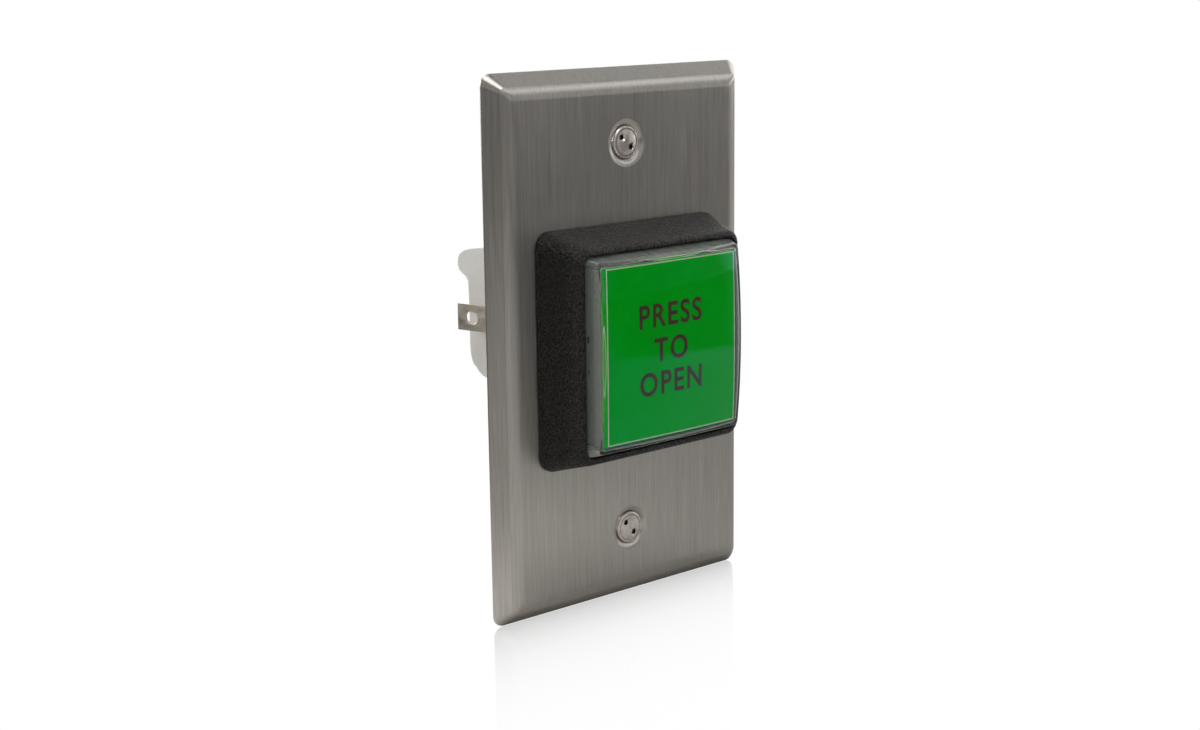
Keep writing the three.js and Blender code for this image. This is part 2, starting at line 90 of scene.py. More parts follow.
# ------------------------------------------------------------------ node helpers
class Mat:
    def __init__(self, name):
        self.m = bpy.data.materials.new(name)
        self.m.use_nodes = True
        self.t = self.m.node_tree
        self.n = self.t.nodes
        self.n.clear()
        self.out = self.n.new("ShaderNodeOutputMaterial")
        self.b = self.n.new("ShaderNodeBsdfPrincipled")
        self.link(self.b.outputs[0], self.out.inputs[0])
        self.coord = self.n.new("ShaderNodeTexCoord").outputs["Object"]

    def link(self, a, b):
        self.t.links.new(a, b)

    def set(self, **kw):
        for k, v in kw.items():
            self.b.inputs[k.replace("_", " ")].default_value = v
        return self

    def scaled(self, sx, sy, sz):
        n = self.n.new("ShaderNodeMapping")
        n.inputs["Scale"].default_value = (sx, sy, sz)
        self.link(self.coord, n.inputs["Vector"])
        return n.outputs[0]

    def noise(self, scale, detail=4, rough=0.55, vec=None, distortion=0.0):
        n = self.n.new("ShaderNodeTexNoise")
        n.inputs["Scale"].default_value = scale
        n.inputs["Detail"].default_value = detail
        n.inputs["Roughness"].default_value = rough
        n.inputs["Distortion"].default_value = distortion
        self.link(vec or self.coord, n.inputs["Vector"])
        return n.outputs["Fac"]

    def voronoi(self, scale, vec=None, feature="F1"):
        n = self.n.new("ShaderNodeTexVoronoi")
        n.feature = feature
        n.inputs["Scale"].default_value = scale
        self.link(vec or self.coord, n.inputs["Vector"])
        return n.outputs["Distance"]

    def ramp(self, fac, lo, hi, a, b, smooth=True):
        n = self.n.new("ShaderNodeMapRange")
        n.interpolation_type = "SMOOTHSTEP" if smooth else "LINEAR"
        n.clamp = True
        for k, v in (("From Min", lo), ("From Max", hi), ("To Min", a), ("To Max", b)):
            n.inputs[k].default_value = v
        self.link(fac, n.inputs["Value"])
        return n.outputs["Result"]

    def math(self, op, a, b=None, c=None):
        n = self.n.new("ShaderNodeMath")
        n.operation = op
        for i, v in enumerate((a, b, c)):
            if v is None:
                continue
            if hasattr(v, "node"):
                self.link(v, n.inputs[i])
            else:
                n.inputs[i].default_value = v
        return n.outputs[0]

    def mix(self, fac, a, b, mode="MIX"):
        n = self.n.new("ShaderNodeMix")
        n.data_type = "RGBA"
        n.blend_type = mode
        for sock, v in ((n.inputs["Factor"], fac), (n.inputs[6], a), (n.inputs[7], b)):
            if hasattr(v, "node"):
                self.link(v, sock)
            elif isinstance(v, (tuple, list)):
                sock.default_value = (*v[:3], 1)
            else:
                sock.default_value = v
        return n.outputs[2]

    def xyz(self, vec=None):
        n = self.n.new("ShaderNodeSeparateXYZ")
        self.link(vec or self.coord, n.inputs[0])
        return n.outputs[0], n.outputs[1], n.outputs[2]

    def bump(self, height, dist, strength=1.0, chain=None):
        n = self.n.new("ShaderNodeBump")
        n.inputs["Strength"].default_value = strength
        n.inputs["Distance"].default_value = dist
        self.link(height, n.inputs["Height"])
        if chain is not None:
            self.link(chain, n.inputs["Normal"])
        return n.outputs[0]

    def edge_wear(self, size=0.0004):
        """0 on flat areas to 1 on convex edges."""
        bev = self.n.new("ShaderNodeBevel")
        bev.samples = 4
        bev.inputs["Radius"].default_value = size
        geo = self.n.new("ShaderNodeNewGeometry")
        dot = self.n.new("ShaderNodeVectorMath")
        dot.operation = "DOT_PRODUCT"
        self.link(bev.outputs[0], dot.inputs[0])
        self.link(geo.outputs["Normal"], dot.inputs[1])
        return self.ramp(dot.outputs["Value"], 0.75, 0.995, 1.0, 0.0)


def plastic(name, color, rough=0.45, var=0.10, grain=0.00003, grain_scale=2500, spec=0.5, sub=0.0, tint=None):
    m = Mat(name)
    big = m.noise(60, 4)
    fine = m.noise(900, 5, 0.6)
    lo = tuple(c * (1 - var) for c in color)
    hi = tuple(min(1, c * (1 + var)) for c in (tint or color))
    col = m.mix(m.ramp(big, 0.3, 0.7, 0, 1), lo, hi)
    col = m.mix(m.ramp(fine, 0.35, 0.75, 0, 0.35), col, tuple(c * (1 - 1.6 * var) for c in color))
    m.link(col, m.b.inputs["Base Color"])
    m.link(m.ramp(m.noise(300, 5), 0.25, 0.75, max(0.05, rough - 0.08), min(1, rough + 0.10)), m.b.inputs["Roughness"])
    m.link(m.bump(m.noise(grain_scale, 3), grain, 0.6), m.b.inputs["Normal"])
    m.set(Specular_IOR_Level=spec)
    if sub:
        m.set(Subsurface_Weight=sub, Subsurface_Radius=(1.0, 0.95, 0.85), Subsurface_Scale=0.0012)
    return m


def metal(name, color, rough=0.25, var=0.08, streak=(2500, 2500, 120), grain=0.00001, tarnish=None, amount=0.35):
    m = Mat(name)
    s = m.noise(1.0, 6, 0.6, m.scaled(*streak))
    big = m.noise(90, 4)
    col = m.mix(m.ramp(s, 0.3, 0.7, 0, 1), tuple(c * (1 - var) for c in color), tuple(min(1, c * (1 + var)) for c in color))
    if tarnish:
        col = m.mix(m.ramp(big, 0.45, 0.75, 0, amount), col, tarnish)
    m.link(col, m.b.inputs["Base Color"])
    m.link(m.ramp(m.math("ADD", s, m.math("MULTIPLY", big, 0.5)), 0.5, 1.1, rough * 0.75, rough * 1.35), m.b.inputs["Roughness"])
    m.link(m.bump(s, grain, 0.7), m.b.inputs["Normal"])
    m.set(Metallic=1.0)
    return m


# ------------------------------------------------------------------ mesh helpers (millimetres in, metres out)
def finish_mesh(obj, sharp=32.0, weighted=False):
    me = obj.data
    for p in me.polygons:
        p.use_smooth = True
    me.set_sharp_from_angle(angle=math.radians(sharp))
    if weighted:
        w = obj.modifiers.new("wn", "WEIGHTED_NORMAL")
        w.keep_sharp = True
        w.weight = 60
        bake(obj)


def bake(obj):
    bpy.context.view_layer.update()
    dg = bpy.context.evaluated_depsgraph_get()
    me = bpy.data.meshes.new_from_object(obj.evaluated_get(dg), preserve_all_data_layers=True, depsgraph=dg)
    old = obj.data
    obj.modifiers.clear()
    obj.data = me
    me.name = obj.name
    bpy.data.meshes.remove(old)
    return obj


def raw(name, verts, faces):
    me = bpy.data.meshes.new(name)
    me.from_pydata([(x * MM, y * MM, z * MM) for x, y, z in verts], [], faces)
    me.validate()
    bm = bmesh.new()
    bm.from_mesh(me)
    bmesh.ops.remove_doubles(bm, verts=bm.verts, dist=1e-8)
    bmesh.ops.recalc_face_normals(bm, faces=bm.faces)
    bm.to_mesh(me)
    bm.free()
    obj = bpy.data.objects.new(name, me)
    scene.collection.objects.link(obj)
    return obj


def piece(obj, body, material, nodes=(), sharp=32.0, weighted=False):
    obj.data.materials.clear()
    obj.data.materials.append(material.m)
    finish_mesh(obj, sharp, weighted)
    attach(obj, body)
    if nodes:
        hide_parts(*nodes)
    return obj


def boolean(obj, cutter, op="DIFFERENCE", solver="EXACT"):
    m = obj.modifiers.new("b", "BOOLEAN")
    m.operation = op
    m.solver = solver
    m.object = cutter
    bake(obj)
    bpy.data.objects.remove(cutter)
    return obj


def bevelled(obj, width, segments=3, angle=30, profile=0.5):
    m = obj.modifiers.new("bev", "BEVEL")
    m.width = width * MM
    m.segments = segments
    m.limit_method = "ANGLE"
    m.angle_limit = math.radians(angle)
    m.profile = profile
    m.use_clamp_overlap = True
    return bake(obj)


def outline(hx, hz, r, n=10, m=8):
    """Rounded rectangle (x, z), the same number of points for any size: n steps a corner, m a side."""
    pts = []
    for k, (sx, sz) in enumerate(((1, 1), (-1, 1), (-1, -1), (1, -1))):
        for i in range(n + 1):
            a = math.radians(90 * k + 90 * i / n)
            pts.append((sx * (hx - r) + r * math.cos(a), sz * (hz - r) + r * math.sin(a)))
        nx, nz = ((-1, 1), (-1, -1), (1, -1), (1, 1))[k]
        a = math.radians(90 * k + 90)
        p = pts[-1]
        q = (nx * (hx - r) + r * math.cos(a), nz * (hz - r) + r * math.sin(a))
        for i in range(1, m):
            t = i / m
            pts.append((p[0] + (q[0] - p[0]) * t, p[1] + (q[1] - p[1]) * t))
    return pts


def circle_like(ring, r):
    return [(x * r / math.hypot(x, z), z * r / math.hypot(x, z)) for x, z in ring]


def loft(name, rings, close=False, cap0=False, cap1=False):
    """rings: lists of (x, y, z), all as long as each other. cap: True for one flat face, "fan" for a centre point."""
    n = len(rings[0])
    verts = [p for r in rings for p in r]
    faces = []
    k = len(rings)
    for s in range(k if close else k - 1):
        a0, b0 = s * n, ((s + 1) % k) * n
        for i in range(n):
            j = (i + 1) % n
            faces.append((a0 + i, a0 + j, b0 + j, b0 + i))
    for flag, s in ((cap0, 0), (cap1, k - 1)):
        if flag == "fan":
            r = rings[s]
            c = len(verts)
            verts.append(tuple(sum(p[q] for p in r) / n for q in range(3)))
            faces += [(s * n + i, s * n + (i + 1) % n, c) for i in range(n)]
        elif isinstance(flag, tuple):
            c = len(verts)
            verts.append(flag)
            faces += [(s * n + i, s * n + (i + 1) % n, c) for i in range(n)]
        elif flag:
            faces.append(tuple(s * n + i for i in range(n)))
    return raw(name, verts, faces)


def flat(ring, y):
    return [(x, y, z) for x, z in ring]


def lathe(name, profile, segments=64, cx=0.0, cz=0.0):
    """profile of (r, y); points on the axis close it."""
    verts, faces, idx = [], [], []
    for r, y in profile:
        if r < 1e-6:
            idx.append([len(verts)])
            verts.append((cx, y, cz))
        else:
            idx.append(list(range(len(verts), len(verts) + segments)))
            verts += [(cx + r * math.cos(2 * math.pi * i / segments), y, cz + r * math.sin(2 * math.pi * i / segments))
                      for i in range(segments)]
    pairs = list(zip(idx, idx[1:]))
    if len(idx[0]) > 1 and len(idx[-1]) > 1:
        pairs.append((idx[-1], idx[0]))
    for a, b in pairs:
        for i in range(segments):
            j = (i + 1) % segments
            if len(a) == 1 and len(b) == 1:
                continue
            if len(a) == 1:
                faces.append((a[0], b[i], b[j]))
            elif len(b) == 1:
                faces.append((a[i], a[j], b[0]))
            else:
                faces.append((a[i], a[j], b[j], b[i]))
    return raw(name, verts, faces)


def block(name, x0, x1, y0, y1, z0, z1):
    v = [(x, y, z) for x in (x0, x1) for y in (y0, y1) for z in (z0, z1)]
    f = [(0, 1, 3, 2), (4, 6, 7, 5), (0, 4, 5, 1), (2, 3, 7, 6), (0, 2, 6, 4), (1, 5, 7, 3)]
    return raw(name, v, f)


def refined(node, name, body, material, bevel=0.15, segments=3, angle=28, dissolve=0.6, sharp=35):
    """The CAD piece with merged facets and rounded edges."""
    me = NODES[node].data.copy()
    bm = bmesh.new()
    bm.from_mesh(me)
    bmesh.ops.remove_doubles(bm, verts=bm.verts, dist=2e-7)
    bmesh.ops.dissolve_limit(bm, angle_limit=math.radians(dissolve), verts=bm.verts, edges=bm.edges)
    clean = bpy.data.meshes.new(name)
    bm.to_mesh(clean)
    bm.free()
    bpy.data.meshes.remove(me)
    for a in ("custom_normal", "sharp_face", "sharp_edge"):
        if a in clean.attributes:
            clean.attributes.remove(clean.attributes[a])
    obj = bpy.data.objects.new(name, clean)
    scene.collection.objects.link(obj)
    bevelled(obj, bevel, segments, angle)
    return piece(obj, body, material, (node,), sharp, True)


def dome(x, z, apex, R=128.7):
    return apex + R - math.sqrt(R * R - x * x - z * z)


# ------------------------------------------------------------------ wall plate
HW, HH = 69.85 / 2, 114.3 / 2
SCREW_Z = 83.3 / 2


def plate_material():
    m = Mat("brushed_stainless")
    fine = m.noise(1.0, 6, 0.6, m.scaled(9000, 9000, 110))
    mid = m.noise(1.0, 4, 0.55, m.scaled(3800, 3800, 42))
    long = m.noise(1.0, 2, 0.5, m.scaled(900, 900, 12))
    cloud = m.noise(30, 3, 0.5)
    s = m.math("ADD", m.math("MULTIPLY", fine, 0.55), m.math("ADD", m.math("MULTIPLY", mid, 0.33), m.math("MULTIPLY", long, 0.12)))
    col = m.mix(m.ramp(s, 0.36, 0.64, 0, 1), (0.505, 0.489, 0.464), (0.690, 0.671, 0.640))
    col = m.mix(m.ramp(cloud, 0.35, 0.75, 0, 0.15), col, (0.52, 0.495, 0.465))
    wear = m.edge_wear(0.0005)
    col = m.mix(m.math("MULTIPLY", wear, 0.25), col, (0.68, 0.67, 0.65))
    m.link(col, m.b.inputs["Base Color"])
    rough = m.math("ADD", m.ramp(s, 0.35, 0.65, 0.30, 0.38), m.ramp(cloud, 0.3, 0.7, -0.015, 0.02))
    m.link(rough, m.b.inputs["Roughness"])
    waves = m.noise(20, 2, 0.4)
    nrm = m.bump(waves, 0.00012, 0.2)
    nrm = m.bump(s, 0.000010, 0.7, nrm)
    m.link(nrm, m.b.inputs["Normal"])
    geo = m.n.new("ShaderNodeNewGeometry")
    cross = m.n.new("ShaderNodeVectorMath")
    cross.operation = "CROSS_PRODUCT"
    cross.inputs[0].default_value = (0, 0, 1)
    m.link(geo.outputs["Normal"], cross.inputs[1])
    m.link(cross.outputs[0], m.b.inputs["Tangent"])
    m.set(Metallic=1.0, Anisotropic=0.8)
    return m


def wall_plate():
    run, depth, lip, sheet = 3.4, 4.0, 0.35, 0.9
    rise = depth - lip
    ang = math.atan2(rise, run)
    rings = []

    def add(inset, y, r):
        rings.append(flat(outline(HW - inset, HH - inset, r, 10, 1), y))

    add(0.10, 0.0, 2.4)
    add(0.0, -0.08, 2.5)
    add(0.0, -0.22, 2.5)
    add(0.03, -0.36, 2.48)
    add(0.12, -0.48, 2.44)
    # the bevel meets the front's rounding in a crease, tilted 29 degrees there and flat 3.0 mm further in
    tilt, width = math.radians(29), 3.0
    big = width / math.sin(tilt)
    crease = -depth + big * (1 - math.cos(tilt))
    start = run * (-crease - lip) / rise
    add(start - 0.10, crease + 0.10 * rise / run, max(0.9, 2.5 - 0.45 * (start - 0.10)))
    steps = 12
    for i in range(steps + 1):
        a = tilt * (1 - i / steps)
        inset = start + width - big * math.sin(a)
        add(inset, -depth + big * (1 - math.cos(a)), max(0.9, 2.5 - 0.45 * inset))
    outer_top = len(rings) - 1
    inner = []
    rim = sheet / math.sin(ang)
    top = run + sheet * math.tan(ang / 2)
    for inset, y, r in ((top + 0.75, -depth + sheet, 0.7), (top - 0.55, -depth + sheet + 0.75, 0.9), (rim + 0.15, -0.16, 1.4), (rim, 0.0, 1.5)):
        inner.append(flat(outline(HW - inset, HH - inset, r, 10, 1), y))
    n = len(rings[0])
    allr = rings + inner
    verts = [p for r in allr for p in r]
    faces = []

    def band(a, b):
        for i in range(n):
            j = (i + 1) % n
            faces.append((a * n + i, a * n + j, b * n + j, b * n + i))

    for s in range(outer_top):
        band(s, s + 1)
    faces.append(tuple(outer_top * n + i for i in range(n)))
    base = outer_top + 1
    for s in range(base, base + 3):
        band(s, s + 1)
    faces.append(tuple(base * n + i for i in range(n)))
    band(base + 3, 0)
    plate = raw("plate_shell", verts, faces)
    for sgn in (1, -1):
        z = sgn * SCREW_Z
        cup = lathe("cup", [(0, -3.6), (5.4, -3.6), (5.6, -3.12), (5.3, -2.95), (4.7, -2.55), (3.15, -0.85), (2.95, -0.75), (0, -0.75)], 72, 0, z)
        boolean(plate, cup, "UNION", "MANIFOLD")
        cut = lathe("cut", [(0, -6), (5.35, -6), (5.35, -4.012), (5.1, -3.99), (4.85, -3.95), (4.6, -3.895), (4.35, -3.81), (4.15, -3.72),
                            (3.95, -3.6), (3.72, -3.46), (3.53, -3.30), (2.32, -1.95), (2.25, -1.8), (2.25, 0.5), (0, 0.5)], 96, 0, z)
        boolean(plate, cut, solver="MANIFOLD")
    boolean(plate, lathe("hole", [(0, -6), (12.3, -6), (12.3, 2), (0, 2)], 96), solver="MANIFOLD")
    boolean(plate, block("notch", -1.9, 1.9, -6, 2, -13.5, -10), solver="MANIFOLD")
    piece(plate, "station", plate_material(), ("wall_plate",), 40, True)


wall_plate()


# ------------------------------------------------------------------ plate screws
def screw_material():
    m = Mat("screw_stainless")
    # turning marks ring the head; the object sits away from the origin, so each has its own centre in z
    x, y, z = m.xyz()
    zz = m.math("SUBTRACT", m.math("ABSOLUTE", z), SCREW_Z * MM)
    r = m.math("SQRT", m.math("ADD", m.math("MULTIPLY", x, x), m.math("MULTIPLY", zz, zz)))
    rings = m.math("SINE", m.math("MULTIPLY", r, 2 * math.pi / 0.00011))
    grime = m.noise(700, 5, 0.6)
    col = m.mix(m.ramp(grime, 0.4, 0.7, 0, 1), (0.93, 0.87, 0.83), (0.70, 0.63, 0.59))
    rim = m.math("MULTIPLY", m.ramp(r, 0.00262, 0.00278, 0, 1), m.ramp(r, 0.00290, 0.00300, 1, 0))
    col = m.mix(m.math("MULTIPLY", rim, 0.6), col, (0.24, 0.17, 0.12))
    # painted shade: the spanner holes are darkened to near black inside, where shade falls
    painted_hole_shade = m.math("MULTIPLY", m.ramp(y, -0.00386, -0.00378, 0, 1), m.ramp(r, 0.00245, 0.00255, 1, 0))
    painted_hole_shade = m.math("MULTIPLY", painted_hole_shade, m.ramp(y, -0.00290, -0.00280, 1, 0))
    col = m.mix(m.math("MULTIPLY", painted_hole_shade, 0.92), col, (0.05, 0.04, 0.035))
    m.link(col, m.b.inputs["Base Color"])
    m.link(m.ramp(grime, 0.3, 0.7, 0.26, 0.40), m.b.inputs["Roughness"])
    m.link(m.bump(rings, 0.000004, 0.5, m.bump(grime, 0.00004, 0.6)), m.b.inputs["Normal"])
    m.set(Metallic=1.0)
    return m


SCREW_MAT = screw_material()
for nm, node, sgn, turn in (("screw_top", "plate_screw_upper", 1, -40), ("screw_bottom", "plate_screw_lower", -1, -48)):
    z = sgn * SCREW_Z
    prof = [(0, -4.2), (0.6, -4.19), (1.2, -4.155), (1.7, -4.10), (2.2, -4.01), (2.55, -3.93), (2.78, -3.885), (2.92, -3.90), (3.06, -3.905),
            (3.2, -3.86), (3.33, -3.76), (3.42, -3.64), (3.45, -3.53), (3.43, -3.42), (3.38, -3.34), (1.75, -1.45)]
    y = -1.1
    while y < 8.2:
        prof += [(1.70, y), (1.72, y + 0.06), (1.42, y + 0.34), (1.42, y + 0.44)]
        y += 0.8
    prof += [(1.70, 8.4), (1.3, 8.88), (0, 8.9)]
    s = lathe(nm, prof, 64, 0, z)
    a = math.radians(turn)
    for side in (1, -1):
        boolean(s, lathe("hole", [(0, -6), (0.93, -6), (0.93, -4.13), (0.86, -4.07), (0.58, -3.86), (0.54, -3.80), (0.54, -3.4), (0.45, -3.2), (0, -3.0)], 32,
                         side * 1.66 * math.cos(a), z + side * 1.66 * math.sin(a)))
    piece(s, "station", SCREW_MAT, (node,), 35, True)


# ------------------------------------------------------------------ bezel
def bezel_material():
    m = Mat("bezel_black")
    grain = m.noise(2100, 3, 0.65)
    coarse = m.noise(1150, 2, 0.5)
    pits = m.voronoi(1900)
    patch = m.noise(120, 4)
    col = m.mix(m.ramp(grain, 0.40, 0.62, 0, 1), (0.0008, 0.0007, 0.0006), (0.0020, 0.0018, 0.0016))
    wear = m.edge_wear(0.0006)
    speck = m.ramp(m.noise(2300, 3, 0.7), 0.56, 0.66, 0, 1)
    col = m.mix(m.math("MULTIPLY", wear, m.math("MULTIPLY", speck, 0.5)), col, (0.16, 0.145, 0.13))
    m.link(col, m.b.inputs["Base Color"])
    m.link(m.math("ADD", m.ramp(patch, 0.3, 0.7, 0.34, 0.42), m.ramp(grain, 0.3, 0.7, -0.10, 0.10)), m.b.inputs["Roughness"])
    h = m.math("ADD", m.math("MULTIPLY", grain, 1.0), m.math("ADD", m.math("MULTIPLY", pits, 0.6), m.math("MULTIPLY", coarse, 0.6)))
    m.link(m.bump(h, 0.00032, 1.0), m.b.inputs["Normal"])
    m.link(m.ramp(m.noise(2600, 3, 0.7), 0.40, 0.62, 0.28, 0.80), m.b.inputs["Specular IOR Level"])
    return m


def bezel():
    base = outline(25.1, 25.1, 3.6)

    def sq(h, r, y):
        return flat(outline(h, h, r), y)

    def at(y):
        return 25.1 - 3.0 * (-4.3 - y) / 10.5

    rings = [sq(24.65, 3.2, -4.3), sq(24.9, 3.45, -4.33), sq(25.05, 3.56, -4.46), sq(25.1 - 0.06, 3.6, -4.7)]
    for y in (-7.0, -10.0, -12.9):
        rings.append(sq(at(y), 3.6 - 0.6 * (-4.3 - y) / 10.5, y))
    for h, r, y in ((22.42, 3.0, -13.70), (22.34, 2.95, -14.02), (22.20, 2.85, -14.30), (22.0, 2.7, -14.54), (21.75, 2.55, -14.71),
                    (21.48, 2.35, -14.79), (21.2, 2.15, -14.8), (21.02, 1.95, -14.77), (20.9, 1.75, -14.66), (20.85, 1.6, -14.48),
                    (20.85, 1.5, -13.0), (20.85, 1.3, -6.3), (20.7, 1.2, -6.0)):
        rings.append(sq(h, r, y))

    def ci(r, y):
        return flat(circle_like(base, r), y)

    for r, y in ((10.2, -6.0), (10.0, -5.8), (10.0, 1.2), (7.5, 1.2), (7.3, 1.35), (7.3, 3.25), (7.45, 3.4), (9.8, 3.4), (9.8, 11.8),
                 (10.0, 12.0), (11.6, 12.0), (12.0, 11.6), (12.0, -4.3)):
        rings.append(ci(r, y))
    b = loft("bezel_shell", rings, close=True)
    extra = []
    for args in ((-1.5, 1.5, -4.45, -3.3, -13.1, -11.5), (11.7, 13.1, 8.5, 10.5, -2, 2), (-13.1, -11.7, 8.5, 10.5, -2, 2)):
        extra.append(block("x", *args))
    for e in extra:
        boolean(b, e, "UNION")
    piece(b, "station", bezel_material(), ("button_bezel",), 38, True)


bezel()

# ------------------------------------------------------------------ barrel nut
NUT = plastic("nut_black", (0.018, 0.018, 0.018), 0.5, 0.15, 0.00006, 1800)


def barrel_nut():
    N = 144
    ap = 16.6 * math.cos(math.pi / 6)

    def ring(y, rmax, hexed):
        out = []
        for i in range(N):
            a = 2 * math.pi * i / N
            r = rmax
            if hexed:
                k = (a + math.pi / 2) % (math.pi / 3) - math.pi / 6
                r = min(rmax, ap / math.cos(k))
            out.append((r * math.cos(a), y, r * math.sin(a)))
        return out

    R = [ring(-2.8, 16.7, False), ring(-2.7, 16.95, False), ring(-2.5, 17, False), ring(-1.45, 17, False), ring(-1.25, 16.9, False),
         ring(-1.1, 16.55, True), ring(2.9, 16.55, True), ring(3.3, 16.2, True), ring(3.7, 15.6, True), ring(3.88, 15.1, True),
         ring(3.9, 13.2, False), ring(3.75, 12.6, False), ring(3.5, 12.35, False)]
    y = 3.2
    while y > -2.6:
        R += [ring(y, 12.35, False), ring(y - 0.35, 12.6, False), ring(y - 0.55, 12.6, False)]
        y -= 0.9
    R += [ring(-2.75, 12.5, False)]
    n = loft("nut_flanged", R, close=True)
    piece(n, "station", NUT, ("barrel_nut",), 30, True)


barrel_nut()

# ------------------------------------------------------------------ lens cap
LB, LC, APEX = 20.55, 1.0, -20.07
SLOPE = (20.55 - 19.67) / (17.07 - 14.2)


def side_half(y):
    return LB - SLOPE * max(0.0, -14.2 - y)


def lens_material():
    m = Mat("lens_clear")
    geo = m.n.new("ShaderNodeNewGeometry")
    nx, ny, nz = m.xyz(geo.outputs["True Normal"])
    x, y, z = m.xyz()
    e = m.math("MAXIMUM", m.math("ABSOLUTE", x), m.math("ABSOLUTE", z))
    # the four side walls, inside and out
    wall = m.math("MULTIPLY", m.ramp(m.math("ABSOLUTE", ny), 0.45, 0.75, 1, 0), m.ramp(e, 18.5 * MM, 18.7 * MM, 0, 1))
    smudge = m.noise(140, 5, 0.6)
    fine = m.noise(1500, 3)
    drawn = m.noise(1.0, 4, 0.6, m.scaled(900, 120, 900))
    m.link(m.mix(m.ramp(smudge, 0.3, 0.7, 0, 1), (0.975, 0.99, 0.98), (0.95, 0.97, 0.955)), m.b.inputs["Base Color"])
    m.link(m.math("ADD", m.ramp(smudge, 0.35, 0.8, 0.010, 0.035), m.math("MULTIPLY", wall, m.ramp(drawn, 0.3, 0.7, 0.04, 0.12))), m.b.inputs["Roughness"])
    m.link(m.bump(fine, 0.000004, 0.3), m.b.inputs["Normal"])
    m.link(m.mix(m.ramp(e, 18.4 * MM, 18.9 * MM, 0, 1), (0.03, 0.62, 0.95), (1, 1, 1)), m.b.inputs["Specular Tint"])
    m.set(Transmission_Weight=1.0, IOR=1.49)
    # moulded walls scatter a little
    haze = m.n.new("ShaderNodeBsdfDiffuse")
    m.link(m.mix(m.ramp(drawn, 0.35, 0.65, 0, 1), (0.42, 0.46, 0.42), (0.60, 0.64, 0.60)), haze.inputs["Color"])
    hz = m.n.new("ShaderNodeMixShader")
    # the bottom wall is the cloudiest, on both its faces
    under = m.ramp(z, -18.75 * MM, -18.55 * MM, 0.60, 0.0)
    m.link(m.math("MULTIPLY", wall, m.math("ADD", m.ramp(drawn, 0.3, 0.7, 0.16, 0.25), under)), hz.inputs[0])
    m.link(m.b.outputs[0], hz.inputs[1])
    m.link(haze.outputs[0], hz.inputs[2])
    # light reaches the legend through the lens
    lp = m.n.new("ShaderNodeLightPath")
    tr = m.n.new("ShaderNodeBsdfTransparent")
    tr.inputs[0].default_value = (0.90, 0.93, 0.91, 1)
    mx = m.n.new("ShaderNodeMixShader")
    m.link(lp.outputs["Is Shadow Ray"], mx.inputs[0])
    m.link(hz.outputs[0], mx.inputs[1])
    m.link(tr.outputs[0], mx.inputs[2])
    m.link(mx.outputs[0], m.out.inputs[0])
    return m


